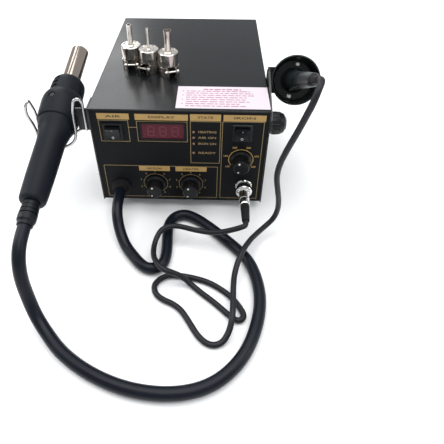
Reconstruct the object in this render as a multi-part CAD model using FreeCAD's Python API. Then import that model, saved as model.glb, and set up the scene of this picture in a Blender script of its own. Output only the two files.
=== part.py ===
import FreeCAD, Part
import math
import os

"""Hot air rework station with a soldering iron, a hot air gun and three spare nozzles.

Units are millimetres. Shapes are drawn from the case: x from its middle plane, to the right
as seen from the front, y back from its front edge, z up from the bench. save() then moves
each one so that the origin is the middle of the whole footprint, on the bench.
"""

V = FreeCAD.Vector

# ---------------------------------------------------------------- driving dimensions
case_w = 187.0           # width of the sheet-metal case
case_d = 245.0           # depth of the case
case_top = 135.0         # height of the case's top above the bench
foot_h = 10.0            # rubber feet
sheet = 1.4              # cover sheet thickness
panel_y = 0.6            # front face of the front panel, set back inside the cover's lip
panel_t = 1.8            # front and rear panel thickness
footprint_mid_x = -5.8   # middle of the whole footprint, from the case's middle plane
footprint_mid_y = 75.6   # and from the case's front edge

display_x = (-39.3, 4.5)
display_z = (99.8, 118.0)
lamp_x = 14.6
lamp_z = (108.5, 101.3, 93.6, 81.5)
lamp_r = 1.5
switch_w = 21.0
switch_places = {"air_switch": (-70.0, 107.5), "iron_switch": (65.5, 108.5)}
switch_pivot_y = 3.0
rocker_rest_deg = 10.0   # at rest the lower half is pressed, which is off

# name, x, z, skirt radius, grip radius, height in front of the panel
knobs = (
    ("temperature", 66.0, 73.5, 11.5, 8.9, 16.0),
    ("airflow", -29.5, 37.0, 11.3, 8.8, 16.0),
    ("heater", 11.0, 37.0, 11.3, 8.8, 16.0),
)
knob_gap = 0.5
shaft_r = 3.0
running = 0.05           # radial clearance of a running fit

socket_x, socket_z = 71.5, 36.0
plug_end_y = -57.0
hose_x, hose_z = -70.0, 31.0
hose_r = 6.0
cord_r = 2.9
gland_nose_y = -9.0

gun_rear = V(-131.0, -91.5, 89.1)      # middle of the handle's rear end
gun_tilt = 14.6                        # the nozzle end points back and up,
gun_yaw = 1.6                          # and slightly toward the case
sleeve_len = 24.0
cradle_wire_r = 1.5

cup_mouth = V(121.5, 46.0, 145.5)      # middle of the iron holder's mouth
iron_tilt = 28.0                       # the iron's handle points forward and up
iron_tail = 85.0                       # end of the handle, in front of the mouth
iron_boot_len = 20.0

clamp_y, clamp_z = 8.0, 116.5

inlet_x = -57.0
armature_x, armature_y = -47.0, 156.0   # pivot of the air pump's rocking arm

nozzle_places = ((-59.8, 95.5), (-38.5, 85.7), (-16.2, 78.9))
nozzle_faces = (5.0, -20.0, 20.0)      # which way each clamp's gap looks: 0 is forward
nozzle_pipes = ((2.8, 2.2, 22.2), (1.3, 0.8, 23.0), (3.7, 3.1, 23.0))
nozzle_flares = (0.0, 0.0, 0.6)
barrel_r = 10.0          # outside of the gun's barrel, which a nozzle clamps on
nozzle_r = 11.0
nozzle_wall = 0.5
nozzle_h = 26.0
clamp_gap = 8.5

# Hose and cord routes, laid by hand: runs between these points, joined by tangent arcs
hose_route = [
    (hose_x, gland_nose_y - 0.1, hose_z), (hose_x, -23.5, hose_z), (-69.5, -39.0, 26.0),
    (-65.5, -53.0, 15.0), (-57.5, -69.0, 7.5), (-45.5, -84.3, 6.1), (-36.0, -94.8, 6.1),
    (-28.5, -98.8, 6.1), (-20.5, -97.6, 6.1), (-14.5, -92.6, 6.1), (-12.2, -83.6, 6.1),
    (-11.8, -71.0, 6.1),
    (-12.9, -55.0, 6.1), (-13.6, -38.0, 6.1), (-8.6, -24.0, 6.1), (3.0, -17.8, 6.1),
    (17.0, -23.5, 6.1), (39.0, -43.0, 6.1), (64.0, -69.5, 6.1), (77.5, -88.5, 6.1),
    (84.0, -117.0, 6.1), (83.5, -142.0, 6.1), (76.5, -169.0, 6.1), (63.5, -195.0, 6.1),
    (40.0, -217.0, 6.1), (9.5, -226.0, 6.1), (-27.5, -224.0, 6.1), (-62.0, -212.5, 6.1),
    (-93.0, -194.0, 6.1), (-113.5, -173.5, 9.0), (-124.0, -162.0, 18.0), (-129.0, -154.5, 33.0),
    (-131.5, -149.5, 51.5), (-131.9, -142.0, 69.0),
]
cord_route = [
    (socket_x, plug_end_y - 0.1, socket_z), (71.5, -63.0, 36.2), (66.0, -64.8, 34.8),
    (57.0, -64.5, 30.5), (44.5, -62.5, 24.0), (31.5, -60.0, 21.0), (16.0, -56.5, 21.0),
    (1.5, -51.8, 21.0), (-9.0, -51.5, 21.0), (-19.0, -57.0, 21.0), (-24.5, -68.0, 14.6),
    (-25.0, -83.0, 14.6), (-21.5, -98.5, 21.0), (-14.0, -109.5, 21.0), (-4.5, -112.0, 19.0),
    (3.5, -110.8, 13.0), (10.5, -112.3, 8.0), (18.0, -116.5, 3.0), (26.5, -124.5, 3.0),
    (35.5, -131.8, 3.0), (44.0, -139.5, 3.0), (51.5, -147.0, 3.0), (60.2, -154.6, 3.0),
    (65.9, -153.2, 3.0), (68.1, -147.9, 3.0), (63.2, -138.2, 3.0), (56.0, -128.2, 3.0),
    (45.5, -119.0, 3.0), (33.5, -111.5, 3.0), (20.0, -107.0, 3.0), (6.0, -104.3, 3.0),
    (-6.0, -103.4, 3.0), (-15.5, -108.2, 3.0), (-21.5, -117.0, 3.0), (-18.5, -127.5, 3.0),
    (-10.0, -134.0, 3.0), (-1.0, -137.5, 3.0), (8.5, -145.0, 3.0), (17.0, -158.5, 3.0),
    (25.5, -172.5, 3.0), (36.0, -180.5, 3.0), (47.0, -178.0, 3.0), (53.5, -168.5, 8.0),
    (56.2, -157.5, 14.6), (57.2, -142.0, 14.6), (57.6, -125.5, 14.6), (59.2, -108.0, 14.6),
    (65.5, -89.0, 21.0), (75.3, -70.8, 21.0), (85.5, -53.5, 15.0), (96.0, -42.0, 15.0),
    (103.8, -38.0, 22.0), (106.8, -38.5, 36.0), (105.5, -42.0, 53.0), (101.5, -47.0, 73.0),
    (97.5, -50.5, 93.0), (98.5, -54.0, 113.0), (102.5, -59.0, 134.0), (107.0, -65.0, 155.0),
    (110.5, -70.0, 174.0), (113.5, -72.5, 188.0), (117.5, -66.5, 198.0),
]
air_tube_route = [
    (-46.0, 128.5, 48.0), (-46.0, 112.0, 48.0), (-54.0, 88.0, 43.0), (-65.0, 62.0, 35.0),
    (hose_x, 36.0, hose_z), (hose_x, 12.7, hose_z),
]

X, Y, Z = V(1, 0, 0), V(0, 1, 0), V(0, 0, 1)
half_w = case_w / 2
panel_back = panel_y + panel_t
inner_x = half_w - sheet - 0.2         # half width of the tray and the panels
rear_y = case_d - panel_y - panel_t    # front face of the rear panel


# ---------------------------------------------------------------- helpers
def save(name, *shapes):
    """Write a node: one solid, or several separate pieces of the same kind."""
    solids = [s for shape in shapes for s in shape.Solids]
    node = solids[0] if len(solids) == 1 else Part.makeCompound(solids)
    node = node.copy()
    node.translate(V(-footprint_mid_x, -footprint_mid_y, 0))
    if not node.isValid() or not solids:
        print("BAD SHAPE", name)
    node.exportStep("parts/" + name + ".step")


def box(x0, x1, y0, y1, z0, z1):
    return Part.makeBox(x1 - x0, y1 - y0, z1 - z0, V(x0, y0, z0))


def cyl(base, axis, r, h):
    return Part.makeCylinder(r, h, V(*base), axis)


def revolve(points):
    """Solid of revolution about Z from a closed outline of (radius, height) points."""
    outline = Part.makePolygon([V(r, 0, z) for r, z in points + [points[0]]])
    return Part.Face(outline).revolve(V(0, 0, 0), Z, 360)


def turned_to(shape, base, axis):
    """Move a shape drawn up Z to stand at base along axis."""
    shape = shape.copy()
    move = FreeCAD.Placement(V(*base), FreeCAD.Rotation(Z, axis))
    shape.Placement = move.multiply(shape.Placement)
    return shape


def prism(points, along, length):
    """Extrude a closed outline of 3D points."""
    outline = Part.makePolygon([V(*p) for p in points + [points[0]]])
    return Part.Face(outline).extrude(along * length)


def rounded_path(points):
    """Straight runs between the points, each corner an arc as large as its runs allow."""
    pts = [V(*p) for p in points]
    edges, radii = [], []
    start = pts[0]
    for before, corner, after in zip(pts, pts[1:], pts[2:]):
        into = (corner - before).normalize()
        out = (after - corner).normalize()
        turn = into.getAngle(out)
        reach = 0.45 * min((corner - before).Length, (after - corner).Length)
        radius = reach / math.tan(turn / 2)
        first, last = corner - into * reach, corner + out * reach
        inward = (out - into).normalize()
        middle = corner + inward * (radius / math.cos(turn / 2) - radius)
        edges.append(Part.LineSegment(start, first).toShape())
        edges.append(Part.Arc(first, middle, last).toShape())
        radii.append(radius)
        start = last
    edges.append(Part.LineSegment(start, pts[-1]).toShape())
    return Part.Wire(edges), radii


def tube(name, points, r):
    """A round bar or cord along a rounded path, with its radii and volume checked."""
    path, radii = rounded_path(points)
    start_dir = V(*points[1]) - V(*points[0])
    circle = Part.Wire(Part.Circle(V(*points[0]), start_dir, r).toShape())
    solid = path.makePipeShell([circle], True, False)
    wanted = math.pi * r * r * path.Length
    print("%s: length %.0f, radii %s, volume off by %.2f%%" % (
        name, path.Length, " ".join("%.0f" % x for x in radii),
        100 * abs(solid.Volume - wanted) / wanted))
    return solid


def fused(first, *rest):
    return first.fuse(list(rest)).removeSplitter()


# ---------------------------------------------------------------- case
side_screws = [(side, y) for side in (-1, 1) for y in (38.0, 122.0, 206.0)]
rear_screws = [(x, z) for x in (-84.0, 84.0) for z in (20.0, 124.0)]
gun_screw_places = ((15.0, 127.5), (22.5, 116.0))   # y, z of the gun bracket's screws


def pan_screw(base, axis, length=7.0):
    """M3 pan-head screw: base is under its head, and axis points out of the head."""
    head = revolve([(0, 0), (2.8, 0), (2.8, 0.9), (2.0, 1.7), (0, 1.9)])
    head = head.cut(box(-2.0, 2.0, -0.35, 0.35, 1.0, 2.5))
    head = head.cut(box(-0.35, 0.35, -2.0, 2.0, 1.0, 2.5))
    shank = Part.makeCylinder(1.5, length + 0.2, V(0, 0, -length))
    return turned_to(fused(head, shank), base, axis)


def make_tray():
    floor = box(-inner_x, inner_x, 3.2, case_d - 3.2, foot_h, foot_h + 1.5)
    walls = [box(side * inner_x - (1.5 if side > 0 else 0), side * inner_x + (0 if side > 0 else 1.5),
                 3.2, case_d - 3.2, foot_h, 28.0) for side in (-1, 1)]
    front = box(-inner_x, inner_x, panel_back + 0.8, panel_back + 2.3, foot_h, 19.0)
    back = box(-inner_x, inner_x, rear_y - 2.3, rear_y - 0.8, foot_h, 24.0)
    tray = fused(floor, *walls, front, back)
    holes = [cyl((side * (inner_x - 4), y, 20.0), X * side, 1.6, 8) for side, y in side_screws]
    holes += [cyl((x, rear_y - 5, z), Y, 1.6, 8) for x, z in rear_screws if z < 28]
    holes += [cyl((x, y, foot_h - 1), Z, 2.6, 4) for x in (-74, 74) for y in (24, 221)]
    return tray.cut(Part.makeCompound(holes))


def make_cover():
    outer = box(-half_w, half_w, 0, case_d, foot_h + 0.6, case_top)
    long_edges = [e for e in outer.Edges
                  if abs(e.CenterOfMass.z - case_top) < 0.01 and abs(abs(e.CenterOfMass.x) - half_w) < 0.01]
    outer = outer.makeFillet(2.2, long_edges)
    inner = box(-half_w + sheet, half_w - sheet, -1, case_d + 1, 0, case_top - sheet)
    cover = outer.cut(inner)
    cuts = [cyl((side * (half_w - 3), y, 20.0), X * side, 1.6, 6) for side, y in side_screws]
    for side in (-1, 1):
        for row_z in (44.0, 74.0):
            for i in range(9):
                y = 132.0 + 9.0 * i
                cuts.append(box(side * half_w - 2, side * half_w + 2, y, y + 3.0, row_z, row_z + 22.0))
    for y, z in gun_screw_places:
        cuts.append(cyl((-half_w - 2, y, z), X, 1.6, 6))
    cuts.append(cyl((half_w - 3, clamp_y, clamp_z), X, 2.6, 6))
    return cover.cut(Part.makeCompound(cuts))


def make_front_panel():
    panel = box(-inner_x, inner_x, panel_y, panel_back, 12.0, case_top - sheet - 0.2)
    cuts = [box(display_x[0] - 1, display_x[1] + 1, -1, 5, display_z[0] - 1, display_z[1] + 1)]
    cuts += [cyl((lamp_x, -1, z), Y, lamp_r + 0.1, 5) for z in lamp_z]
    for x, z in switch_places.values():
        half = switch_w / 2 - 1.2
        cuts.append(box(x - half, x + half, -1, 5, z - half, z + half))
    cuts += [cyl((x, -1, z), Y, 3.6, 5) for _, x, z, *_ in knobs]
    cuts.append(cyl((socket_x, -1, socket_z), Y, 7.9, 5))
    cuts.append(cyl((hose_x, -1, hose_z), Y, 9.1, 5))
    return panel.cut(Part.makeCompound(cuts))


def make_rear_panel():
    panel = box(-inner_x, inner_x, rear_y, rear_y + panel_t, 12.0, case_top - sheet - 0.2)
    cuts = [box(inlet_x - 14.0, inlet_x + 14.0, rear_y - 1, rear_y + 4, 25.0, 55.0)]
    cuts += [cyl((x, rear_y - 1, z), Y, 1.6, 5) for x, z in rear_screws]
    for i in range(10):
        x = -62.0 + 9.0 * i
        cuts.append(box(x, x + 3.5, rear_y - 1, rear_y + 4, 78.0, 110.0))
    return panel.cut(Part.makeCompound(cuts))


def make_case():
    save("base_tray", make_tray())
    save("top_cover", make_cover())
    save("front_panel", make_front_panel())
    save("rear_panel", make_rear_panel())
    foot = revolve([(0, 0), (7.6, 0), (8.4, 0.8), (9.4, 7.0), (9.4, foot_h), (2.5, foot_h),
                    (2.5, foot_h + 1.6), (3.6, foot_h + 2.2), (2.2, foot_h + 4.0), (0, foot_h + 4.0)])
    save("rubber_feet", *[turned_to(foot, (x, y, 0), Z) for x in (-74, 74) for y in (24, 221)])
    screws = [pan_screw((side * half_w, y, 20.0), X * side, 5.0) for side, y in side_screws]
    screws += [pan_screw((x, rear_y + panel_t, z), Y, 5.0) for x, z in rear_screws]
    screws += [pan_screw((-half_w - 1.6, y, z), X * -1, 5.0) for y, z in gun_screw_places]
    save("pan_screws", *screws)
    save("top_label", box(-3.6, 92.4, 3.4, 48.4, case_top, case_top + 0.2))


# ---------------------------------------------------------------- display and lamps
def make_display():
    x0, x1 = display_x
    z0, z1 = display_z
    frame = box(x0 - 2, x1 + 2, -0.6, panel_y, z0 - 2, z1 + 2)
    collar = box(x0 - 0.9, x1 + 0.9, panel_y, 8.0, z0 - 0.9, z1 + 0.9)
    bezel = fused(frame, collar).cut(box(x0, x1, -1, 9, z0, z1))
    save("display_bezel", bezel)
    save("display_window", box(x0, x1, 0.0, 2.0, z0, z1))
    block = box(x0 + 3, x1 - 3, 4.2, 11.0, z0 + 1.5, z1 - 1.5)
    board = box(x0 - 4, x1 + 4, 11.0, 12.6, z0 - 12, z1 + 4)
    save("display_module", fused(block, board))
    lamp = revolve([(0, 0.2), (0.8, 0.35), (1.3, 0.9), (lamp_r, 1.7), (lamp_r, 4.6), (1.9, 4.6),
                    (1.9, 5.6), (0, 5.6)])
    save("pilot_lamps", *[turned_to(lamp, (lamp_x, -1.0, z), Y) for z in lamp_z])


# ---------------------------------------------------------------- rocker switches
def make_switch(name, x, z):
    half = switch_w / 2
    flange = box(x - half, x + half, -1.3, panel_y, z - half, z + half)
    flange = flange.makeChamfer(0.8, [e for e in flange.Edges if abs(e.CenterOfMass.y + 1.3) < 0.01])
    body = box(x - half + 1.4, x + half - 1.4, panel_y, 17.0, z - half + 1.4, z + half - 1.4)
    housing = fused(flange, body).cut(box(x - 7.8, x + 7.8, -2, 12.0, z - 8.1, z + 8.1))
    pivot = cyl((x - 8.9, switch_pivot_y, z), X, 1.5 + running, 17.8)
    terminals = [box(x + dx - 0.4, x + dx + 0.4, 17.0, 24.0, z - 2.4, z + 2.4) for dx in (-5.5, 0, 5.5)]
    housing = fused(housing.cut(pivot), *terminals)
    save(name + "_housing", housing)
    # the rocker is drawn level, then tipped to its rest position
    outline = [(x - 7.4, -2.4, z), (x - 7.4, -4.4, z + 7.2), (x - 7.4, 1.5, z + 7.2),
               (x - 7.4, 8.5, z + 2.4), (x - 7.4, 8.5, z - 2.4), (x - 7.4, 1.5, z - 7.2),
               (x - 7.4, -4.4, z - 7.2)]
    rocker = prism(outline, X, 14.8)
    rocker = fused(rocker, cyl((x - 8.6, switch_pivot_y, z), X, 1.5, 17.2))
    rocker.rotate(V(x, switch_pivot_y, z), X, rocker_rest_deg)
    save(name + "_rocker", rocker)


# ---------------------------------------------------------------- knobs and potentiometers
def make_knob(name, x, z, skirt_r, grip_r, height):
    base = panel_y - knob_gap
    top = base - height
    body = revolve([(0, 0), (skirt_r, 0), (skirt_r, 1.6), (grip_r + 0.6, 3.4), (grip_r, height - 1.2),
                    (grip_r - 1.2, height), (0, height)])
    for i in range(18):
        angle = math.radians(20 * i + 10)
        groove = Part.makeCylinder(0.7, height, V((grip_r + 0.35) * math.cos(angle),
                                                  (grip_r + 0.35) * math.sin(angle), 4.2))
        body = body.cut(groove)
    recess = Part.makeCylinder(grip_r - 1.8, 3.5, V(0, 0, -1))
    bore = Part.makeCylinder(shaft_r + running, height - 2.0, V(0, 0, -1))
    body = body.cut(recess).cut(bore)
    save(name + "_knob", turned_to(body, (x, base, z), V(0, -1, 0)))
    save(name + "_shaft", cyl((x, top + 3.1, z), Y, shaft_r, 10.5 - top))


def make_potentiometers():
    for name, x, z, skirt_r, grip_r, height in knobs:
        make_knob(name, x, z, skirt_r, grip_r, height)
    pots = []
    for _, x, z, *_ in knobs:
        can = cyl((x, panel_back, z), Y, 8.5, 13.0)
        bush = cyl((x, -1.6, z), Y, 3.5, 5.0)
        nut = cyl((x, -1.6, z), Y, 5.0, 1.6 + panel_y)
        legs = [box(x + dx - 0.6, x + dx + 0.6, 6.0, 7.0, z - 13.0, z - 7.0) for dx in (-5, 0, 5)]
        pot = fused(can, bush, nut, *legs)
        pots.append(pot.cut(cyl((x, -3, z), Y, shaft_r + running, 17.0)))
    save("potentiometers", *pots)


# ---------------------------------------------------------------- iron socket and plug
def make_socket():
    nose = (socket_x, panel_y, socket_z)
    out = V(0, -1, 0)
    socket = revolve([(0, -12), (7.8, -12), (7.8, 0), (9.6, 0), (9.6, 2.0), (9.0, 2.8), (7.8, 2.8),
                      (7.8, 8.0), (6.6, 8.0), (6.6, 3.0), (0, 3.0)])
    save("iron_socket", turned_to(socket, nose, out))
    ring_r = 7.8 + running
    ring = revolve([(ring_r, 3.4), (8.2, 3.4), (8.2, 6.0), (9.0, 6.8), (9.0, 11.5), (8.2, 12.6),
                    (6.6, 13.6), (6.1, 13.6), (6.1, 12.4), (ring_r, 12.4)])
    save("plug_coupling_ring", turned_to(ring, nose, out))
    plug = revolve([(0, 3.3), (6.5, 3.3), (6.5, 8.2), (7.5, 8.2), (7.5, 12.2), (6.0, 12.2),
                    (6.0, 14.0), (5.6, 15.0), (5.6, 24.0), (5.0, 24.6), (5.0, 26.2), (5.5, 26.8),
                    (5.5, 32.4), (4.9, 33.6), (0, 33.6)])
    save("plug_body", turned_to(plug, nose, out))
    end = panel_y - plug_end_y
    boot = revolve([(0, 33.6), (4.9, 33.6), (4.8, 40.0), (4.1, end - 1.0), (3.7, end), (0, end)])
    save("plug_boot", turned_to(boot, nose, out))
    end = cup_mouth + iron_axis() * (iron_tail + iron_boot_len + 0.1)
    route = cord_route + [tuple(end + iron_axis() * 10.4), tuple(end)]
    save("iron_cord", tube("iron_cord", route, cord_r))


# ---------------------------------------------------------------- hose
def make_hose():
    gland = revolve([(5.0, -12), (5.5, -12), (7.2, -8), (7.2, -1.8), (9.0, -1.8), (9.0, 0),
                     (11.4, 0), (11.4, 2.2), (9.4, 3.0), (8.4, 9.6), (6.4, 9.6), (5.0, 9.6)])
    save("hose_gland", turned_to(gland, (hose_x, panel_y, hose_z), V(0, -1, 0)))
    along = gun_axis()
    end = gun_rear - along * (sleeve_len + 0.1)
    route = hose_route + [tuple(end - along * 14.7), tuple(end)]
    save("air_hose", tube("air_hose", route, hose_r))
    save("air_tube", tube("air_tube", air_tube_route, 4.5))


# ---------------------------------------------------------------- hot air gun
def gun_axis():
    tilt, yaw = math.radians(gun_tilt), math.radians(gun_yaw)
    return V(math.sin(yaw) * math.cos(tilt), math.cos(yaw) * math.cos(tilt), math.sin(tilt))


def make_gun():
    """The gun is drawn up Z from its rear end, with -Y as its top, and then laid down."""
    turn = FreeCAD.Rotation(Z, -gun_yaw).multiply(FreeCAD.Rotation(X, -(90 - gun_tilt)))

    def lay(shape):
        shape = shape.copy()
        shape.Placement = FreeCAD.Placement(gun_rear, turn).multiply(shape.Placement)
        return shape

    handle = revolve([(8.1, 0), (9.4, 0), (11.4, 0.8), (12.5, 2.8), (12.9, 7), (13.6, 26), (14.0, 48),
                      (14.3, 70), (15.2, 79), (17.0, 87), (19.0, 93.5), (19.9, 98), (17.4, 98),
                      (16.4, 91), (14.2, 84), (12.8, 76), (12.2, 60), (11.6, 12), (8.1, 10)])
    save("gun_handle", lay(handle))
    collar = revolve([(20.0, 96.5), (20.9, 97.6), (21.5, 106), (22.0, 113), (22.4, 122), (21.9, 127.5),
                      (20.6, 131.5), (18.6, 134.5), (16.0, 134.5), (16.0, 131.5), (19.6, 127),
                      (20.0, 120)])
    screws = []
    for side_deg in (-102, 78):
        angle = math.radians(side_deg)
        spot = V(24.0 * math.cos(angle), 24.0 * math.sin(angle), 119.5)
        inward = V(-math.cos(angle), -math.sin(angle), 0)
        collar = collar.cut(Part.makeCylinder(3.6, 3.4, spot, inward))
        screws.append(lay(Part.makeCylinder(2.6, 0.9, spot + inward * 2.4, inward)))
    save("gun_collar", lay(collar))
    save("collar_screws", *screws)
    head = revolve([(15.9, 130.5), (15.9, 134.6), (18.2, 134.6), (18.3, 137), (18.0, 150), (17.3, 154.5),
                    (15.6, 157.2), (13.0, 158), (barrel_r + 0.1, 158), (barrel_r + 0.1, 151),
                    (14.6, 148), (14.6, 130.5)])
    for group in (-130, 50):
        for s in (137.5, 143.7, 149.9):
            slot = box(10.0, 22.0, -7.0, 7.0, s, s + 2.6)
            slot.rotate(V(0, 0, 0), Z, group)
            head = head.cut(slot)
    save("gun_head", lay(head))
    save("gun_barrel", lay(revolve([(barrel_r - 0.8, 140), (barrel_r, 140), (barrel_r, 212),
                                    (barrel_r - 0.8, 212)])))
    core = fused(Part.makeCylinder(7.8, 92, V(0, 0, 112)), Part.makeCylinder(14.4, 3.9, V(0, 0, 136)))
    for i in range(6):
        slot = box(3.0, 10.0, -1.0, 1.0, 120.0, 200.0)
        slot.rotate(V(0, 0, 0), Z, 60 * i)
        core = core.cut(slot)
    save("heater_core", lay(core))
    sleeve = revolve([(5.0, 9.9), (8.0, 9.9), (8.0, -2), (8.8, -15), (8.6, -19), (7.6, -21),
                      (7.2, -sleeve_len), (5.0, -sleeve_len)])
    for s in (-5.5, -9.5, -13.5):
        sleeve = sleeve.cut(revolve([(7.7, s), (10, s), (10, s + 1.4), (7.7, s + 1.4)]))
    save("hose_sleeve", lay(sleeve))


def sling(radius, x, y, z):
    """Corners of a half circle of wire under the gun, from its right to its left."""
    drop = radius * math.tan(math.radians(30))
    low = radius / math.cos(math.radians(30))
    return [(x + radius, y, z - drop), (x, y, z - low), (x - radius, y, z - drop)]


def make_gun_holder():
    flange = box(-half_w - 1.6, -half_w - 0.1, 1.6, 26.0, 110.0, 133.0)
    plate = box(-105.5, -half_w - 0.1, 1.6, 3.1, 108.0, 134.0)
    bracket = fused(flange, plate)
    holes = [cyl((-half_w - 3, y, z), X, 1.6, 6) for y, z in gun_screw_places]
    save("gun_bracket", bracket.cut(Part.makeCompound(holes)))
    route = [(-97.2, 0.0, 109.0), (-97.2, 0.0, 128.0), (-95.8, -1.8, 141.0), (-98.5, -2.4, 147.5),
             (-103.5, -3.4, 146.0), (-106.9, -5.0, 131.0)]
    route += sling(20.0, -127.8, -6.0, 110.3)
    route += [(-148.6, -6.0, 117.0), (-153.5, -6.0, 130.5), (-152.5, -4.5, 140.0),
              (-150.5, -1.5, 143.0), (-150.6, 1.5, 141.5), (-151.8, 6.5, 134.5), (-152.6, 12.5, 124.0)]
    route += reversed(sling(24.3, -128.1, 14.0, 116.6))
    route += [(-99.0, 12.0, 118.0), (-97.0, 9.0, 127.0)]
    save("gun_cradle", tube("gun_cradle", route, cradle_wire_r))


# ---------------------------------------------------------------- soldering iron and its holder
def iron_axis():
    tilt = math.radians(iron_tilt)
    return V(0, -math.cos(tilt), math.sin(tilt))


def make_iron():
    """The iron and its cup are drawn up Z from the cup's mouth, with +Y as the top."""

    def lay(shape):
        shape = shape.copy()
        move = FreeCAD.Placement(cup_mouth, FreeCAD.Rotation(X, 90 - iron_tilt))
        shape.Placement = move.multiply(shape.Placement)
        return shape

    cup = revolve([(12.6, -18), (21.0, -18), (23.4, -16), (25.2, -1.2), (26.0, 0), (24.8, 0.6),
                   (23.8, -0.6), (21.8, -14.8), (20.4, -16.4), (12.6, -16.4)])
    screw_spots = []
    for angle in (78, 258):
        a = math.radians(angle)
        screw_spots.append(V(17.6 * math.cos(a), 17.6 * math.sin(a), 0))
    for spot in screw_spots:
        cup = cup.cut(Part.makeCylinder(1.6, 8, spot + V(0, 0, -22)))
    save("holder_cup", lay(cup))

    head = revolve([(0, -16.4), (2.8, -16.4), (2.8, -15.4), (1.8, -14.6), (0, -14.4)])
    shank = Part.makeCylinder(1.5, 6.5, V(0, 0, -22.6))
    nut = Part.makeCylinder(2.7, 2.0, V(0, 0, -22.2))
    screws = []
    for spot in screw_spots:
        screw = fused(head, shank, nut)
        screw.translate(spot)
        screws.append(lay(screw))
    save("cup_screws", *screws)

    disc = lay(Part.makeCylinder(22.5, 2.0, V(0, 0, -20)))
    ear = lay(box(-27.8, -10.0, -14.0, 14.0, -20.0, -18.0))
    x0, x1 = half_w + 0.1, half_w + 1.9
    low, high = (clamp_y, clamp_z), (cup_mouth.y + 18.0, cup_mouth.z - 8.0)
    ends = [cyl((x0, y, z), X, 11.0, x1 - x0) for y, z in (low, high)]
    dy, dz = high[0] - low[0], high[1] - low[1]
    length = math.hypot(dy, dz)
    ny, nz = -dz / length * 11.0, dy / length * 11.0
    strip = prism([(x0, low[0] + ny, low[1] + nz), (x0, high[0] + ny, high[1] + nz),
                   (x0, high[0] - ny, high[1] - nz), (x0, low[0] - ny, low[1] - nz)], X, x1 - x0)
    bracket = fused(strip, *ends, disc, ear)
    bracket = bracket.cut(lay(Part.makeCylinder(12.6, 6, V(0, 0, -22))))
    for spot in screw_spots:
        bracket = bracket.cut(lay(Part.makeCylinder(1.6, 8, spot + V(0, 0, -24))))
    bracket = bracket.cut(cyl((x0 - 1, clamp_y, clamp_z), X, 2.6, 6))
    save("holder_bracket", bracket)

    tube_outline = [(11.4, -95), (12.2, -95), (12.2, -22), (14.0, -22), (14.0, -20.1), (11.4, -20.1)]
    holder_tube = revolve(tube_outline)
    for s in range(6):
        for angle in (0, 90):
            slot = box(-20, 20, -2.5, 2.5, -88.0 + 10.5 * s, -83.0 + 10.5 * s)
            slot.rotate(V(0, 0, 0), Z, angle + 45)
            holder_tube = holder_tube.cut(slot)
    save("holder_tube", lay(holder_tube))

    handle = revolve([(5.2, -16.2), (13.4, -16.2), (13.4, -13.4), (11.0, -10), (9.6, 0), (8.9, 14),
                      (8.2, 36), (7.3, 60), (6.5, 76), (6.3, 82), (5.2, iron_tail),
                      (3.4, iron_tail), (3.4, 70), (5.2, 66)])
    save("iron_handle", lay(handle))
    barrel = revolve([(0, -58), (5.6, -58), (6.2, -56), (6.2, -26), (9.0, -24), (9.0, -16.3),
                      (5.1, -16.3), (5.1, 4), (0, 4)])
    save("iron_barrel", lay(barrel))
    tip = revolve([(0, -84), (0.8, -83), (3.2, -72), (3.2, -58.1), (0, -58.1)])
    save("iron_tip", lay(tip))
    end = iron_tail + iron_boot_len
    boot = revolve([(0, 70.5), (3.3, 70.5), (3.3, iron_tail), (4.6, iron_tail + 0.1), (4.4, iron_tail + 3),
                    (3.2, end), (0, end)])
    save("iron_boot", lay(boot))

    stud = cyl((half_w - 8, clamp_y, clamp_z), X, 2.5, 14)
    dome = revolve([(0, 0), (11.9, 0), (12.0, 3.0), (11.6, 8.0), (9.8, 12.0), (6.0, 14.6), (0, 15.4)])
    for i in range(12):
        angle = math.radians(30 * i)
        dome = dome.cut(Part.makeCylinder(1.5, 9, V(12.6 * math.cos(angle), 12.6 * math.sin(angle), -1)))
    dome = turned_to(dome, (x1 + 0.1, clamp_y, clamp_z), X)
    save("clamp_knob", fused(dome, stud))


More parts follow.
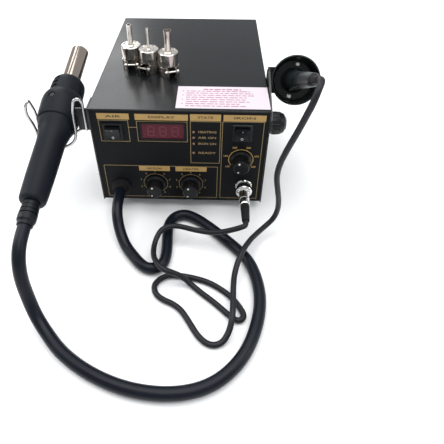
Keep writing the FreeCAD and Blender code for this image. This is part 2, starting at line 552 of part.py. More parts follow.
# ---------------------------------------------------------------- nozzles
def make_nozzles():
    half_gap = clamp_gap / 2
    sizes = zip(nozzle_places, nozzle_faces, nozzle_pipes, nozzle_flares)
    for i, ((x, y), face, (pipe_r, bore_r, pipe_h), flare) in enumerate(sizes, 1):
        top = nozzle_h + pipe_h
        outline = [(nozzle_r, 0.2), (nozzle_r, nozzle_h - 0.8), (nozzle_r - 0.8, nozzle_h),
                   (nozzle_r - 1.6, nozzle_h), (nozzle_r - 2.0, nozzle_h - 0.8),
                   (pipe_r + 1.2, nozzle_h - 0.8), (pipe_r + 0.3, nozzle_h), (pipe_r, nozzle_h + 1.5),
                   (pipe_r, top - 8.0), (pipe_r + flare, top), (bore_r + flare, top),
                   (bore_r, top - 8.0), (bore_r, nozzle_h - 1.4), (nozzle_r - 1.4, nozzle_h - 1.4),
                   (nozzle_r - nozzle_wall, nozzle_h - 2.2), (nozzle_r - nozzle_wall, 0.2)]
        body = revolve(outline)
        body = body.cut(box(-half_gap, half_gap, -12, 0, 0, 11.0))
        body = body.cut(box(-8.0, 8.0, -12, -4, 11.0, 12.0))
        band = revolve([(nozzle_r + 0.02, 1.5), (nozzle_r + 0.45, 1.5), (nozzle_r + 0.45, 10.5),
                        (nozzle_r + 0.02, 10.5)])
        band = band.cut(box(-half_gap, half_gap, -13, 0, 0, 12))
        ears = [box(x0, x0 + 1.0, -16.4, -10.3, 1.5, 10.5) for x0 in (-half_gap - 1.0, half_gap)]
        clamp = fused(band, *ears)
        clamp = clamp.cut(Part.makeCylinder(1.2, 14, V(-7, -13.6, 7.6), X))
        shank = Part.makeCylinder(1.15, 14.0, V(-8.0, -13.6, 7.6), X)
        head = Part.makeCylinder(2.2, 2.1, V(half_gap + 1.1, -13.6, 7.6), X)
        nut = Part.makeCylinder(2.1, 1.8, V(-half_gap - 2.9, -13.6, 7.6), X)
        screw = fused(shank, head, nut)
        parts = [turned_to(shape, (x, y, case_top), Z) for shape in (body, clamp, screw)]
        for part in parts:
            part.rotate(V(x, y, 0), Z, face)
        save("nozzle_%d" % i, parts[0])
        save("nozzle_%d_clamp" % i, *parts[1:])


# ---------------------------------------------------------------- inside and rear
def make_inside():
    core = box(22.0, 80.0, 160.0, 208.0, foot_h + 1.5, 58.0)
    coil = box(32.0, 70.0, 150.0, 218.0, 24.0, 50.0)
    lugs = box(14.0, 88.0, 176.0, 192.0, foot_h + 1.5, foot_h + 3.0)
    save("transformer", fused(core, coil, lugs))
    frame = box(-80.0, -14.0, 138.0, 212.0, 20.0, 62.0)
    pocket = box(-62.0, -32.0, 146.0, 204.0, 36.0, 80.0)
    chambers = [cyl((x, 175.0, 40.0), X, 15.0, 9.0) for x in (-88.5, -14.5)]
    outlet = cyl((-46.0, 128.6, 48.0), Y, 4.4, 10.0)
    feet = [cyl((x, y, foot_h + 1.5), Z, 4.0, 9.0) for x in (-72, -22) for y in (146, 204)]
    pin = cyl((armature_x, armature_y, 35.0), Z, 2.0, 24.0)
    save("pump_body", fused(fused(frame, outlet, *chambers, *feet).cut(pocket), pin))
    arm = fused(box(armature_x - 3, armature_x + 3, armature_y, 192.0, 44.0, 50.0),
                cyl((armature_x, armature_y, 40.0), Z, 4.5, 14.0),
                box(armature_x - 7, armature_x + 7, 184.0, 198.0, 40.0, 54.0))
    save("pump_armature", arm.cut(cyl((armature_x, armature_y, 35.0), Z, 2.0 + running, 24.0)))
    board = box(-30.0, 84.0, 34.0, 134.0, 22.0, 23.6)
    posts = [cyl((x, y, foot_h + 1.5), Z, 3.0, 10.5) for x in (-25, 79) for y in (39, 129)]
    sink = box(50.0, 81.2, 96.0, 100.5, 23.6, 56.0)
    fins = [box(50.0 + 5 * i, 51.2 + 5 * i, 100.0, 112.0, 23.6, 56.0) for i in range(7)]
    caps = [cyl((x, 60.0, 23.6), Z, 6.5, 22.0) for x in (-14, 4, 22)]
    blocks = [box(-22.0, -2.0, 84.0, 104.0, 23.6, 40.0), box(10.0, 30.0, 84.0, 100.0, 23.6, 38.0)]
    save("main_board", fused(board, *posts, sink, *fins, *caps, *blocks))


def make_rear():
    """Mains inlet, with its fuse drawer in the same housing under the socket."""
    y = rear_y + panel_t
    mid = inlet_x
    flange = box(mid - 17.0, mid + 17.0, y, y + 2.6, 23.0, 57.0)
    flange = flange.makeFillet(4.0, [e for e in flange.Edges if abs(e.tangentAt(e.FirstParameter).y) > 0.99])
    body = box(mid - 13.8, mid + 13.8, y - 24.0, y, 25.2, 54.8)
    cavity = box(mid - 12.0, mid + 12.0, y - 16.0, y + 4.0, 36.6, 53.4)
    slot = box(mid - 11.0, mid + 11.0, y - 20.0, y + 4.0, 26.6, 34.0)
    pins = [box(mid + dx - 1.0, mid + dx + 1.0, y - 17.0, y - 3.5, z - 2.0, z + 2.0)
            for dx, z in ((-7.0, 43.0), (0.0, 47.0), (7.0, 43.0))]
    save("power_inlet", fused(fused(flange, body).cut(cavity).cut(slot), *pins))
    carrier = box(mid - 10.95, mid + 10.95, y - 18.0, y + 3.4, 26.65, 33.95)
    fuse_bay = box(mid - 9.0, mid + 9.0, y - 16.5, y - 2.0, 29.0, 35.0)
    grip = box(mid - 6.0, mid + 6.0, y + 3.0, y + 4.4, 26.65, 28.6)
    save("fuse_drawer", fused(carrier.cut(fuse_bay), grip))


os.makedirs("parts", exist_ok=True)
make_case()
make_display()
for switch, (switch_x, switch_z) in switch_places.items():
    make_switch(switch, switch_x, switch_z)
make_potentiometers()
make_socket()
make_hose()
make_gun()
make_gun_holder()
make_iron()
make_nozzles()
make_inside()
make_rear()
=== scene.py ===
import math
import random
import bpy
from mathutils import Matrix, Vector


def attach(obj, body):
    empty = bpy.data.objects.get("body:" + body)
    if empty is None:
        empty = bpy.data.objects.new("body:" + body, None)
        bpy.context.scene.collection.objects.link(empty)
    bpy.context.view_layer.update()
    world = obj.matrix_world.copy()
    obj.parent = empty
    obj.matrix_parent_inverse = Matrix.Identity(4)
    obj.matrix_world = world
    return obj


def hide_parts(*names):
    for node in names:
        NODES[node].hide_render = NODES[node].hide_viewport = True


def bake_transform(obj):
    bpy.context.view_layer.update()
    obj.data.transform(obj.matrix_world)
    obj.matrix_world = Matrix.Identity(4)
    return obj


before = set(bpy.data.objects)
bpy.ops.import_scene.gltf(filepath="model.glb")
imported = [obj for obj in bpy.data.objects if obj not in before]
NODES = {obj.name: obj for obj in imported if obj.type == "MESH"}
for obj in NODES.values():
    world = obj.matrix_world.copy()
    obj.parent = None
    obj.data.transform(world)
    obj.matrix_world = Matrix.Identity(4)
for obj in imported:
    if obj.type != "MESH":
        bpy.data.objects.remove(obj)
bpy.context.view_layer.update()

scene = bpy.context.scene
SHIFT_X, SHIFT_Y = 5.8, -75.6    # from the case's middle plane and front edge to the frame, mm


def at(x, y, z):
    """A point given in mm from the case's middle plane, its front edge and the bench."""
    return Vector(((x + SHIFT_X) / 1000, (y + SHIFT_Y) / 1000, z / 1000))


# ---------------------------------------------------------------- camera and lights
def make_camera():
    data = bpy.data.cameras.new("camera")
    data.sensor_width = 36
    data.lens = 35.27
    data.shift_x = 0.0495
    data.shift_y = -0.072
    data.clip_start = 0.01
    camera = bpy.data.objects.new("camera", data)
    camera.location = at(33.5, -377.3, 366.0)
    camera.rotation_euler = (math.radians(90 - 41.84), 0, math.radians(1.83))
    scene.collection.objects.link(camera)
    scene.camera = camera


def area_light(name, place, target, width, height, watts, colour=(1, 1, 1)):
    data = bpy.data.lights.new(name, "AREA")
    data.shape = "RECTANGLE"
    data.size, data.size_y = width, height
    data.energy = watts
    data.color = colour
    light = bpy.data.objects.new(name, data)
    light.location = place
    aim = Vector(target) - Vector(place)
    light.rotation_euler = aim.to_track_quat("-Z", "Y").to_euler()
    scene.collection.objects.link(light)


def make_lights():
    world = bpy.data.worlds.new("studio")
    world.use_nodes = True
    background = world.node_tree.nodes["Background"]
    background.inputs["Color"].default_value = (0.93, 0.96, 1.0, 1)
    background.inputs["Strength"].default_value = 0.55
    scene.world = world
    scene.view_settings.view_transform = "Standard"
    area_light("overhead", (0.1, -0.1, 1.5), (0.0, -0.05, 0), 1.6, 1.6, 24)
    area_light("left_window", (-1.3, 0.1, 0.9), (-0.1, 0, 0.1), 0.5, 1.2, 9)
    area_light("back_left", (-0.75, 1.5, 1.2), (-0.1, 0.05, 0.1), 0.9, 1.1, 9)
    area_light("right_fill", (1.3, -0.3, 0.7), (0, 0, 0.1), 0.25, 1.0, 3)


# ---------------------------------------------------------------- materials
def material(name, colour, rough, metal=0.0, grain=(1500, 0.1), mottle=(30, 0.15), edge_highlight=0.0,
             coat=0.0, specular=0.5, rough_spread=0.08, streak=None, bump_mm=0.05):
    """A finish with uneven colour and gloss, a fine surface grain and optional brighter edges, which are
    a painted highlight.
    """
    made = bpy.data.materials.new(name)
    made.use_nodes = True
    tree = made.node_tree
    nodes, links = tree.nodes, tree.links
    shader = nodes["Principled BSDF"]
    shader.inputs["Metallic"].default_value = metal
    shader.inputs["Coat Weight"].default_value = coat
    shader.inputs["Coat Roughness"].default_value = 0.12
    shader.inputs["Specular IOR Level"].default_value = specular
    place = nodes.new("ShaderNodeTexCoord")
    stretch = nodes.new("ShaderNodeMapping")
    stretch.inputs["Scale"].default_value = streak or (1, 1, 1)
    links.new(place.outputs["Object"], stretch.inputs["Vector"])

    cloud = nodes.new("ShaderNodeTexNoise")
    cloud.inputs["Scale"].default_value = mottle[0]
    cloud.inputs["Detail"].default_value = 6
    links.new(stretch.outputs["Vector"], cloud.inputs["Vector"])
    tint = nodes.new("ShaderNodeMix")
    tint.data_type = "RGBA"
    tint.inputs["A"].default_value = (*[c * (1 - mottle[1]) for c in colour], 1)
    tint.inputs["B"].default_value = (*[min(1, c * (1 + mottle[1])) for c in colour], 1)
    links.new(cloud.outputs["Fac"], tint.inputs["Factor"])
    colour_out = tint.outputs["Result"]

    gloss = nodes.new("ShaderNodeMapRange")
    gloss.inputs["From Min"].default_value = 0.3
    gloss.inputs["From Max"].default_value = 0.7
    gloss.inputs["To Min"].default_value = max(0.02, rough - rough_spread)
    gloss.inputs["To Max"].default_value = min(1, rough + rough_spread)
    links.new(cloud.outputs["Fac"], gloss.inputs["Value"])
    links.new(gloss.outputs["Result"], shader.inputs["Roughness"])

    fine = nodes.new("ShaderNodeTexNoise")
    fine.inputs["Scale"].default_value = grain[0]
    fine.inputs["Detail"].default_value = 3
    links.new(stretch.outputs["Vector"], fine.inputs["Vector"])
    bump = nodes.new("ShaderNodeBump")
    bump.inputs["Strength"].default_value = grain[1]
    bump.inputs["Distance"].default_value = bump_mm / 1000
    links.new(fine.outputs["Fac"], bump.inputs["Height"])
    links.new(bump.outputs["Normal"], shader.inputs["Normal"])

    # Lighter colour mixed in along rounded edges: a painted edge highlight.
    if edge_highlight:
        rounded = nodes.new("ShaderNodeBevel")
        rounded.samples = 4
        rounded.inputs["Radius"].default_value = 0.0006
        flat = nodes.new("ShaderNodeNewGeometry")
        dot = nodes.new("ShaderNodeVectorMath")
        dot.operation = "DOT_PRODUCT"
        links.new(rounded.outputs["Normal"], dot.inputs[0])
        links.new(flat.outputs["Normal"], dot.inputs[1])
        edge = nodes.new("ShaderNodeMapRange")
        edge.inputs["From Min"].default_value = 0.995
        edge.inputs["From Max"].default_value = 0.85
        edge.inputs["To Max"].default_value = edge_highlight
        links.new(dot.outputs["Value"], edge.inputs["Value"])
        highlit_edge = nodes.new("ShaderNodeMix")
        highlit_edge.data_type = "RGBA"
        highlit_edge.inputs["B"].default_value = (0.32, 0.31, 0.29, 1)
        links.new(edge.outputs["Result"], highlit_edge.inputs["Factor"])
        links.new(colour_out, highlit_edge.inputs["A"])
        colour_out = highlit_edge.outputs["Result"]
    links.new(colour_out, shader.inputs["Base Color"])
    return made


def make_materials():
    m = {}
    # Lighter edges on the case, black screws, cup and bracket are a painted highlight.
    m["case"] = material("case_black", (0.006, 0.007, 0.008), 0.27, grain=(2600, 0.25),
                         mottle=(9, 0.35), edge_highlight=0.35, rough_spread=0.05, bump_mm=0.03, specular=0.35)
    m["panel"] = material("panel_black", (0.0045, 0.005, 0.006), 0.45, grain=(3000, 0.2),
                          mottle=(14, 0.3), bump_mm=0.02, specular=0.12)
    m["zinc"] = material("zinc_sheet", (0.45, 0.46, 0.45), 0.42, 1.0, grain=(900, 0.12),
                         mottle=(60, 0.12))
    m["screw"] = material("black_screw", (0.03, 0.03, 0.032), 0.38, 0.6, edge_highlight=0.5)
    m["nickel_screw"] = material("nickel_screw", (0.72, 0.69, 0.62), 0.25, 1.0, mottle=(200, 0.1))
    m["rubber"] = material("rubber_black", (0.006, 0.006, 0.0065), 0.62, grain=(1800, 0.35),
                           mottle=(40, 0.3), specular=0.22)
    m["label"] = material("label_paper", (0.62, 0.55, 0.60), 0.55, grain=(1200, 0.08),
                          mottle=(25, 0.04), specular=0.3)
    m["label_ink"] = material("label_ink", (0.36, 0.17, 0.25), 0.6, mottle=(220, 0.2), specular=0.2)
    m["gold_ink"] = material("gold_ink", (0.46, 0.29, 0.095), 0.42, grain=(2500, 0.3),
                             mottle=(120, 0.12), specular=0.4)
    m["gold_line"] = material("gold_line", (0.30, 0.22, 0.10), 0.45, mottle=(150, 0.2), specular=0.3)
    m["black_ink"] = material("black_ink", (0.05, 0.035, 0.02), 0.5, mottle=(150, 0.2), specular=0.3)
    # White print, also used for the painted highlight dash on the knobs.
    m["white_ink_and_highlight"] = material("white_ink_and_highlight", (0.75, 0.75, 0.73), 0.45, mottle=(150, 0.1))
    m["window"] = material("display_red", (0.085, 0.002, 0.014), 0.2, grain=(1200, 0.02),
                           mottle=(60, 0.25), coat=0.05, specular=0.2, rough_spread=0.03)
    m["segment"] = material("digit_segment", (0.11, 0.004, 0.018), 0.3, mottle=(200, 0.1))
    m["bezel"] = material("bezel_black", (0.004, 0.004, 0.0045), 0.32, grain=(2400, 0.15),
                          mottle=(50, 0.3), specular=0.2)
    m["switch"] = material("switch_black", (0.005, 0.006, 0.008), 0.28, grain=(2400, 0.15),
                           mottle=(60, 0.3), specular=0.25)
    m["knob"] = material("knob_black", (0.005, 0.0055, 0.006), 0.3, grain=(2200, 0.25),
                         mottle=(70, 0.3), rough_spread=0.06, specular=0.25)
    m["lamp"] = material("lamp_lens", (0.22, 0.12, 0.07), 0.12, mottle=(400, 0.2), coat=0.5)
    m["board"] = material("circuit_board", (0.02, 0.13, 0.05), 0.4, mottle=(120, 0.3))
    m["chrome"] = material("chrome", (0.78, 0.77, 0.75), 0.09, 1.0, grain=(500, 0.04),
                           mottle=(45, 0.05), rough_spread=0.04)
    m["heat_chrome"] = material("heat_chrome", (0.46, 0.39, 0.33), 0.13, 1.0, grain=(700, 0.06),
                                mottle=(45, 0.09), rough_spread=0.05)
    m["wire"] = material("wire_chrome", (0.50, 0.50, 0.51), 0.16, 1.0, mottle=(90, 0.08))
    m["steel"] = material("nozzle_steel", (0.66, 0.62, 0.57), 0.2, 1.0, grain=(900, 0.15),
                          mottle=(30, 0.12), streak=(1, 1, 9), rough_spread=0.07)
    m["tip"] = material("tip_iron", (0.32, 0.29, 0.27), 0.4, 1.0, mottle=(160, 0.3))
    m["gun"] = material("gun_plastic", (0.006, 0.008, 0.012), 0.44, grain=(2300, 0.35),
                        mottle=(22, 0.25), rough_spread=0.05, bump_mm=0.06, specular=0.13)
    m["iron"] = material("iron_plastic", (0.008, 0.012, 0.013), 0.3, grain=(2200, 0.25),
                         mottle=(40, 0.25))
    m["cup"] = material("cup_plastic", (0.005, 0.008, 0.0075), 0.28, grain=(1800, 0.3),
                        mottle=(60, 0.35), edge_highlight=0.12, specular=0.3)
    m["bracket"] = material("bracket_black", (0.006, 0.0065, 0.0075), 0.34, grain=(2400, 0.25),
                            mottle=(30, 0.3), edge_highlight=0.5)
    m["hose"] = material("hose_rubber", (0.004, 0.006, 0.011), 0.34, grain=(900, 0.12),
                         mottle=(26, 0.35), rough_spread=0.07, specular=0.2)
    m["cord"] = material("cord_silicone", (0.012, 0.012, 0.015), 0.42, grain=(1300, 0.2),
                         mottle=(60, 0.3), specular=0.25)
    m["sleeve"] = material("sleeve_rubber", (0.005, 0.0065, 0.009), 0.36, specular=0.2, grain=(1500, 0.3),
                           mottle=(60, 0.3))
    m["ceramic"] = material("heater_former", (0.66, 0.60, 0.50), 0.7, mottle=(150, 0.2))
    m["iron_core"] = material("core_iron", (0.12, 0.11, 0.11), 0.5, 0.5, mottle=(60, 0.3))
    m["cast"] = material("cast_alu", (0.42, 0.42, 0.43), 0.5, 1.0, grain=(700, 0.5), mottle=(60, 0.2))
    m["air_tube"] = material("inner_tube", (0.45, 0.42, 0.36), 0.4, mottle=(50, 0.15))
    return m


NODE_LOOKS = {
    "case": "top_cover rear_panel",
    "panel": "front_panel",
    "zinc": "base_tray pump_armature",
    "screw": "pan_screws collar_screws",
    "nickel_screw": "cup_screws",
    "rubber": "rubber_feet hose_gland plug_boot iron_boot",
    "label": "top_label",
    "bezel": "display_bezel power_inlet fuse_drawer",
    "window": "display_window",
    "board": "display_module main_board",
    "lamp": "pilot_lamps",
    "switch": "air_switch_housing iron_switch_housing air_switch_rocker iron_switch_rocker",
    "knob": "temperature_knob airflow_knob heater_knob clamp_knob",
    "cast": "temperature_shaft airflow_shaft heater_shaft potentiometers pump_body",
    "chrome": "iron_socket plug_body plug_coupling_ring",
    "wire": "gun_cradle",
    "heat_chrome": "gun_barrel",
    "steel": "nozzle_1 nozzle_2 nozzle_3 nozzle_1_clamp nozzle_2_clamp nozzle_3_clamp iron_barrel "
             "holder_tube",
    "tip": "iron_tip",
    "gun": "gun_handle gun_collar gun_head",
    "ceramic": "heater_core",
    "bracket": "gun_bracket holder_bracket",
    "cup": "holder_cup",
    "iron": "iron_handle",
    "iron_core": "transformer",
    "air_tube": "air_tube",
    "sleeve": "hose_sleeve",
}


def dress_nodes(looks):
    for look, names in NODE_LOOKS.items():
        for name in names.split():
            node = NODES[name]
            node.data.materials.clear()
            node.data.materials.append(looks[look])
            soften(node)


def soften(piece, angle=32):
    """Smooth shading on curved faces, with edges sharper than the angle kept crisp."""
    mesh = piece.data
    weld = piece.modifiers.new("weld", "WELD")
    weld.merge_threshold = 1e-6
    mesh.polygons.foreach_set("use_smooth", [True] * len(mesh.polygons))
    split = piece.modifiers.new("edges", "EDGE_SPLIT")
    split.split_angle = math.radians(angle)


# ---------------------------------------------------------------- mesh helpers
LETTER_SIZE = 1.4    # font size over the height of its capitals


def mesh_piece(name, points, faces, look, body, smooth=True):
    mesh = bpy.data.meshes.new(name)
    mesh.from_pydata([tuple(p) for p in points], [], faces)
    mesh.update()
    mesh.materials.append(look)
    mesh.polygons.foreach_set("use_smooth", [smooth] * len(mesh.polygons))
    piece = bpy.data.objects.new(name, mesh)
    scene.collection.objects.link(piece)
    if smooth:
        soften(piece)
    if body:
        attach(piece, body)
    return piece


def round_tube(name, centres, radius_mm, look, sides=20):
    """A mesh tube that follows points, turning as little as it can between them."""
    points, faces = [], []
    side = Vector((0, 0, 1))
    count = len(centres)
    for j, centre in enumerate(centres):
        ahead = (centres[min(j + 1, count - 1)] - centres[max(j - 1, 0)]).normalized()
        side = (side - ahead * side.dot(ahead)).normalized()
        other = ahead.cross(side)
        for i in range(sides):
            a = 2 * math.pi * i / sides
            spot = side * math.cos(a) + other * math.sin(a)
            points.append(centre + spot * radius_mm / 1000)
    for j in range(count - 1):
        for i in range(sides):
            k = (i + 1) % sides
            faces.append((j * sides + i, j * sides + k, (j + 1) * sides + k, (j + 1) * sides + i))
    faces.append(tuple(reversed(range(sides))))
    last = (count - 1) * sides
    faces.append(tuple(range(last, last + sides)))
    return mesh_piece(name, points, faces, look, None)


def spline_points(route):
    """Points along the smooth spline that has the route's points as its control points."""
    curve = bpy.data.curves.new("route", "CURVE")
    curve.dimensions = "3D"
    curve.resolution_u = 12
    spline = curve.splines.new("NURBS")
    spline.points.add(len(route) - 1)
    for control, place in zip(spline.points, route):
        control.co = (*place, 1)
    spline.order_u = 3
    spline.use_endpoint_u = True
    holder = bpy.data.objects.new("route", curve)
    scene.collection.objects.link(holder)
    bpy.context.view_layer.update()
    line = bpy.data.meshes.new_from_object(holder)
    points = [v.co.copy() for v in line.vertices]
    bpy.data.objects.remove(holder)
    return points


def boxes(name, spans, look, body):
    """One piece made of boxes, each (x0, x1, y0, y1, z0, z1) in case mm."""
    points, faces = [], []
    for x0, x1, y0, y1, z0, z1 in spans:
        n = len(points)
        points += [at(x, y, z) for x in (x0, x1) for y in (y0, y1) for z in (z0, z1)]
        faces += [tuple(n + i for i in f) for f in
                  ((0, 1, 3, 2), (4, 6, 7, 5), (0, 4, 5, 1), (2, 3, 7, 6), (0, 2, 6, 4), (1, 5, 7, 3))]
    return mesh_piece(name, points, faces, look, body, smooth=False)


def words(name, text, middle, height, look, body, up=(0, 0, 1), width=None, weight=0.0):
    """Flat printed figures, centred on a point in case mm and read from left to right along X."""
    curve = bpy.data.curves.new(name, "FONT")
    curve.body = text
    curve.size = height / 1000 * LETTER_SIZE
    curve.align_x, curve.align_y = "CENTER", "CENTER"
    curve.extrude = 0.00003
    curve.offset = weight / 1000
    curve.resolution_u = 3
    holder = bpy.data.objects.new(name, curve)
    scene.collection.objects.link(holder)
    bpy.context.view_layer.update()
    mesh = bpy.data.meshes.new_from_object(holder)
    bpy.data.objects.remove(holder)
    across, upward = Vector((1, 0, 0)), Vector(up)
    spin = Matrix((across, upward, across.cross(upward))).transposed().to_4x4()
    xs = [v.co.x for v in mesh.vertices]
    if width and xs:
        mesh.transform(Matrix.Scale(width / 1000 / (max(xs) - min(xs)), 4, (1, 0, 0)))
    mesh.transform(Matrix.Translation(at(*middle)) @ spin)
    mesh.materials.clear()
    mesh.materials.append(look)
    piece = bpy.data.objects.new(name, mesh)
    scene.collection.objects.link(piece)
    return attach(piece, body)


def join(name, parts, body):
    """Join printed pieces that share a look and a body into one."""
    points, faces = [], []
    for part in parts:
        n = len(points)
        points += [part.matrix_world @ v.co for v in part.data.vertices]
        faces += [tuple(n + i for i in p.vertices) for p in part.data.polygons]
    look = parts[0].data.materials[0]
    for part in parts:
        bpy.data.objects.remove(part)
    return mesh_piece(name, points, faces, look, body, smooth=False)


# ---------------------------------------------------------------- hose and cord
HOSE_ROUTE = [
    (-70.0, -9.1, 31.0), (-70.0, -23.5, 31.0), (-69.5, -39.0, 26.0),
    (-65.5, -53.0, 15.0), (-57.5, -69.0, 7.5), (-45.5, -84.3, 6.1), (-36.0, -94.8, 6.1),
    (-28.5, -98.8, 6.1), (-20.5, -97.6, 6.1), (-14.5, -92.6, 6.1), (-12.2, -83.6, 6.1),
    (-11.8, -71.0, 6.1),
    (-12.9, -55.0, 6.1), (-13.6, -38.0, 6.1), (-8.6, -24.0, 6.1), (3.0, -17.8, 6.1),
    (17.0, -23.5, 6.1), (39.0, -43.0, 6.1), (64.0, -69.5, 6.1), (77.5, -88.5, 6.1),
    (84.0, -117.0, 6.1), (83.5, -142.0, 6.1), (76.5, -169.0, 6.1), (63.5, -195.0, 6.1),
    (40.0, -217.0, 6.1), (9.5, -226.0, 6.1), (-27.5, -224.0, 6.1), (-62.0, -212.5, 6.1),
    (-93.0, -194.0, 6.1), (-113.5, -173.5, 9.0), (-124.0, -162.0, 18.0), (-129.0, -154.5, 33.0),
    (-131.5, -149.5, 51.5), (-131.9, -142.0, 69.0),
    (-132.05, -129.03, 79.32), (-131.65, -114.81, 83.03),
]
CORD_ROUTE = [
    (71.5, -57.1, 36.0), (71.5, -63.0, 36.2), (66.0, -64.8, 34.8),
    (57.0, -64.5, 30.5), (44.5, -62.5, 24.0), (31.5, -60.0, 21.0), (16.0, -56.5, 21.0),
    (1.5, -51.8, 21.0), (-9.0, -51.5, 21.0), (-19.0, -57.0, 21.0), (-24.5, -68.0, 14.6),
    (-25.0, -83.0, 14.6), (-21.5, -98.5, 21.0), (-14.0, -109.5, 21.0), (-4.5, -112.0, 19.0),
    (3.5, -110.8, 13.0), (10.5, -112.3, 8.0), (18.0, -116.5, 3.0), (26.5, -124.5, 3.0),
    (35.5, -131.8, 3.0), (44.0, -139.5, 3.0), (51.5, -147.0, 3.0), (60.2, -154.6, 3.0),
    (65.9, -153.2, 3.0), (68.1, -147.9, 3.0), (63.2, -138.2, 3.0), (56.0, -128.2, 3.0),
    (45.5, -119.0, 3.0), (33.5, -111.5, 3.0), (20.0, -107.0, 3.0), (6.0, -104.3, 3.0),
    (-6.0, -103.4, 3.0), (-15.5, -108.2, 3.0), (-21.5, -117.0, 3.0), (-18.5, -127.5, 3.0),
    (-10.0, -134.0, 3.0), (-1.0, -137.5, 3.0), (8.5, -145.0, 3.0), (17.0, -158.5, 3.0),
    (25.5, -172.5, 3.0), (36.0, -180.5, 3.0), (47.0, -178.0, 3.0), (53.5, -168.5, 8.0),
    (56.2, -157.5, 14.6), (57.2, -142.0, 14.6), (57.6, -125.5, 14.6), (59.2, -108.0, 14.6),
    (65.5, -89.0, 21.0), (75.3, -70.8, 21.0), (85.5, -53.5, 15.0), (96.0, -42.0, 15.0),
    (103.8, -38.0, 22.0), (106.8, -38.5, 36.0), (105.5, -42.0, 53.0), (101.5, -47.0, 73.0),
    (97.5, -50.5, 93.0), (98.5, -54.0, 113.0), (102.5, -59.0, 134.0), (107.0, -65.0, 155.0),
    (110.5, -70.0, 174.0), (113.5, -72.5, 188.0), (117.5, -66.5, 198.0),
    (121.5, -55.98, 199.73), (121.5, -46.80, 194.84),
]


HOSE_R, CORD_R = 6.0, 2.9    # mm


def make_hose_and_cord(looks):
    hose_line = spline_points([at(*p) for p in HOSE_ROUTE])
    hose = round_tube("air_hose_skin", hose_line, HOSE_R, looks["hose"], 28)
    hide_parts("air_hose")
    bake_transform(hose)
    cord_line = spline_points([at(*p) for p in CORD_ROUTE])
    cord = round_tube("iron_cord_skin", cord_line, CORD_R, looks["cord"], 16)
    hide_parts("iron_cord")
    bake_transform(cord)


# ---------------------------------------------------------------- printing on the front panel
BAR_LABELS = (
    (-84.5, -51.3, 122.4, 129.5, "AIR"), (-45.4, 9.1, 122.1, 129.3, "DISPLAY"),
    (11.2, 42.8, 122.3, 130.0, "STATE"), (45.3, 88.7, 122.4, 129.8, "IRON"),
    (-47.0, -12.4, 55.2, 61.9, "AIR FLOW"), (-6.1, 28.8, 55.3, 61.7, "HEATER"),
)
OUTLINES = (
    (-83.9, -52.8, 94.7, 121.6), (-44.5, 8.3, 95.4, 120.8), (11.1, 43.0, 67.4, 121.7),
    (44.4, 87.6, 15.9, 122.0), (-86.5, 41.2, 15.9, 62.5),
)
LINK_LINE = (-52.8, -44.5, 112.7, 113.3)    # joins the air switch's outline to the display's
DIALS = (("temperature", 66.0, 73.5), ("airflow", -29.5, 37.0), ("heater", 11.0, 37.0))
SWITCHES = (("air_switch", -70.0, 107.5), ("iron_switch", 65.5, 108.5))
LAMP_LABELS = ((108.5, "HEATING"), (101.3, "AIR ON"), (93.6, "IRON ON"), (81.5, "READY"))
LAMP_LABEL_X = 29.0
PRINT_Y = (0.52, 0.6)        # front and back of the ink, which stands just proud of the panel
WORDS_Y = 0.47               # dark lettering on the gold bars, just in front of them
KNOB_FACE_Y = -15.96         # marks on the knobs' front faces


def on_panel(x0, x1, z0, z1):
    return (x0, x1, *PRINT_Y, z0, z1)


def rim(x0, x1, z0, z1, line=0.6):
    """Four thin bars round a rectangle on the panel."""
    return [on_panel(x0, x1, z0, z0 + line), on_panel(x0, x1, z1 - line, z1),
            on_panel(x0, x0 + line, z0 + line, z1 - line),
            on_panel(x1 - line, x1, z0 + line, z1 - line)]


def around(x, z, radius, degrees):
    """A point (x, z) on a circle, with degrees anticlockwise from the right."""
    a = math.radians(degrees)
    return x + radius * math.cos(a), z + radius * math.sin(a)


def arc_band(name, x, z, inner, outer, start, end, look, body="station", y=PRINT_Y[0], step=4):
    """A flat band round a dial; angles in degrees, anticlockwise from the right."""
    count = max(2, int(abs(end - start) / step))
    points, faces = [], []
    for i in range(count + 1):
        for r in (inner, outer):
            px, pz = around(x, z, r, start + (end - start) * i / count)
            points.append(at(px, y, pz))
    for i in range(count):
        faces.append((2 * i, 2 * i + 1, 2 * i + 3, 2 * i + 2))
    return mesh_piece(name, points, faces, look, body, smooth=False)


def tick(x, z, inner, outer, degrees, half_width):
    """Corners of a short bar that points out from a dial."""
    a = math.radians(degrees)
    out, side = (math.cos(a), math.sin(a)), (-math.sin(a), math.cos(a))
    corners = ((inner, -half_width), (outer, -half_width), (outer, half_width), (inner, half_width))
    return [at(x + out[0] * r + side[0] * w, PRINT_Y[0], z + out[1] * r + side[1] * w)
            for r, w in corners]


def make_panel_print(looks):
    bars = [on_panel(*bar[:4]) for bar in BAR_LABELS]
    boxes("print_bars", bars, looks["gold_ink"], "station")
    lines = [span for box in OUTLINES for span in rim(*box)]
    lines.append(on_panel(*LINK_LINE))
    boxes("print_outlines", lines, looks["gold_line"], "station")
    headings = []
    for x0, x1, z0, z1, text in BAR_LABELS:
        middle = ((x0 + x1) / 2, WORDS_Y, (z0 + z1) / 2)
        headings.append(words("t", text, middle, 2.7, looks["black_ink"], "station",
                              width=(x1 - x0) * 0.5, weight=0.06))
    join("print_bar_words", headings, "station")
    captions = []
    for z, text in LAMP_LABELS:
        captions.append(words("s", text, (LAMP_LABEL_X, PRINT_Y[0], z), 2.7, looks["gold_line"],
                              "station", width=19.0, weight=0.05))
    join("print_lamp_words", captions, "station")
    for name, x, z in DIALS:
        make_dial_print(name, x, z, looks)


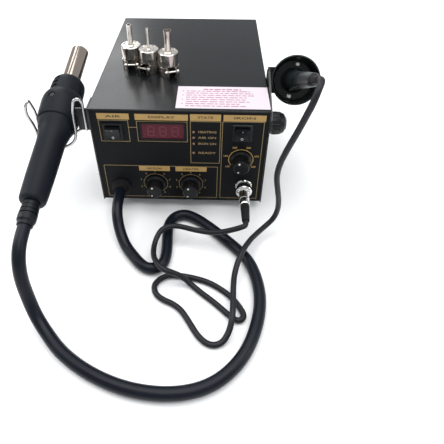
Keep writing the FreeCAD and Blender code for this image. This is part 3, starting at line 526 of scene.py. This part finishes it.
def make_dial_print(name, x, z, looks):
    """The ring, ticks and numbers round one dial; the temperature dial's are bolder."""
    if name == "temperature":
        look, radius, line, reach = looks["gold_ink"], 12.8, 0.9, 17.4
        start, end, steps = 215, -35, 10
        numbers = {i: str(100 + 40 * i) for i in range(0, steps + 1, 2)}
    else:
        look, radius, line, reach = looks["gold_line"], 13.4, 0.5, 17.2
        start, end, steps = 235, -55, 8
        numbers = {i: str(i + 1) for i in range(steps + 1)}
    arc_band("print_arc_" + name, x, z, radius, radius + line, start, end, look)
    points, faces, marks = [], [], []
    for i in range(steps + 1):
        degrees = start + (end - start) * i / steps
        faces.append(tuple(range(len(points), len(points) + 4)))
        points += tick(x, z, radius + 0.3, radius + 1.7, degrees, 0.25)
        if i in numbers:
            px, pz = around(x, z, reach, degrees)
            marks.append(words("n", numbers[i], (px, PRINT_Y[0], pz), 2.5, look, "station", weight=0.04))
    mesh_piece("print_ticks_" + name, points, faces, look, "station", smooth=False)
    join("print_numbers_" + name, marks, "station")


def disc(name, x, y, z, radius, look, body, sides=24):
    rim_points = [around(x, z, radius, 360 * i / sides) for i in range(sides)]
    points = [at(px, y, pz) for px, pz in rim_points]
    return mesh_piece(name, points, [tuple(range(sides))], look, body, smooth=False)


def make_knob_marks(looks):
    for name, x, z in DIALS:
        # The dot is a white pointer mark; the second mark, a white dash at 112 degrees on every knob, is
        # a painted highlight.
        for mark, reach, degrees, radius in (("_dot", 6.1, -120, 0.9), ("_painted_highlight", 6.3, 112, 1.2)):
            px, pz = around(x, z, reach, degrees)
            disc(name + mark, px, KNOB_FACE_Y, pz, radius, looks["white_ink_and_highlight"], name + "_dial")
        arc_band(name + "_face_ring", x, z, 4.6, 5.0, 0, 360, looks["bezel"], name + "_dial",
                 y=KNOB_FACE_Y + 0.01)


def make_rocker_marks(looks):
    """An O on the lower half of each rocker and an I on the upper, on their sloping faces."""
    for name, x, z in SWITCHES:
        words(name + "_off_mark", "O", (x, -2.87, z - 5.9), 2.6, looks["white_ink_and_highlight"], name,
              up=(0, 0.0962, 0.9953))
        words(name + "_on_mark", "I", (x, -4.54, z + 3.5), 2.6, looks["white_ink_and_highlight"], name,
              up=(0, -0.4309, 0.9024))


# ---------------------------------------------------------------- display digits
DIGIT_X = (-33.6, -20.9, -8.2)          # left side of each digit
DIGIT_Z = 102.6
DIGIT_Y = (-0.06, 0.0)


def make_digits(looks):
    spans = []
    wide, high, line = 7.4, 12.6, 1.2
    z = DIGIT_Z
    for x in DIGIT_X:
        for low in (z, z + high / 2 - line / 2, z + high - line):
            spans.append((x + line, x + wide - line, *DIGIT_Y, low, low + line))
        for left in (x, x + wide - line):
            for low in (z + line * 0.7, z + high / 2 + line * 0.3):
                spans.append((left, left + line, *DIGIT_Y, low, low + high / 2 - line))
        spans.append((x + wide + 1.4, x + wide + 2.8, *DIGIT_Y, z, z + line))
    boxes("display_digits", spans, looks["segment"], "station")


# ---------------------------------------------------------------- top label
LABEL_TOP = 135.2
LABEL_ROWS = 9
BULLET_ROWS = (1, 3, 5, 7)
INK = 0.05                # thickness of the print on the label


def make_top_print(looks):
    """A heading and rows of plain bars in place of small print."""
    rng = random.Random(7)
    spans = []
    for row in range(LABEL_ROWS):
        y = 43.4 - 4.3 * row
        if row:
            x, height, end = 6.0, 1.5, 86.0 - rng.uniform(0, 24)
        else:
            x, height, end = 24.0, 2.4, 64.0
        while x < end:
            word = rng.uniform(3.0, 9.0)
            spans.append((x, min(x + word, end), y - height, y, LABEL_TOP, LABEL_TOP + INK))
            x += word + 1.3
        if row in BULLET_ROWS:
            spans.append((1.8, 3.4, y - 1.6, y, LABEL_TOP, LABEL_TOP + INK))
    boxes("top_label_print", spans, looks["label_ink"], "station")


# ---------------------------------------------------------------- floor
def make_floor():
    half = 3.0
    white = material("floor_white", (0.93, 0.93, 0.93), 0.75, mottle=(2, 0.01), specular=0.1)
    corners = [(-half, -half, 0), (half, -half, 0), (half, half, 0), (-half, half, 0)]
    floor = mesh_piece("floor", corners, [(0, 1, 2, 3)], white, None, smooth=False)
    floor.location.z = -0.0002    # just under the feet


make_camera()
make_lights()
LOOKS = make_materials()
make_hose_and_cord(LOOKS)
dress_nodes(LOOKS)
make_panel_print(LOOKS)
make_knob_marks(LOOKS)
make_rocker_marks(LOOKS)
make_digits(LOOKS)
make_top_print(LOOKS)
make_floor()
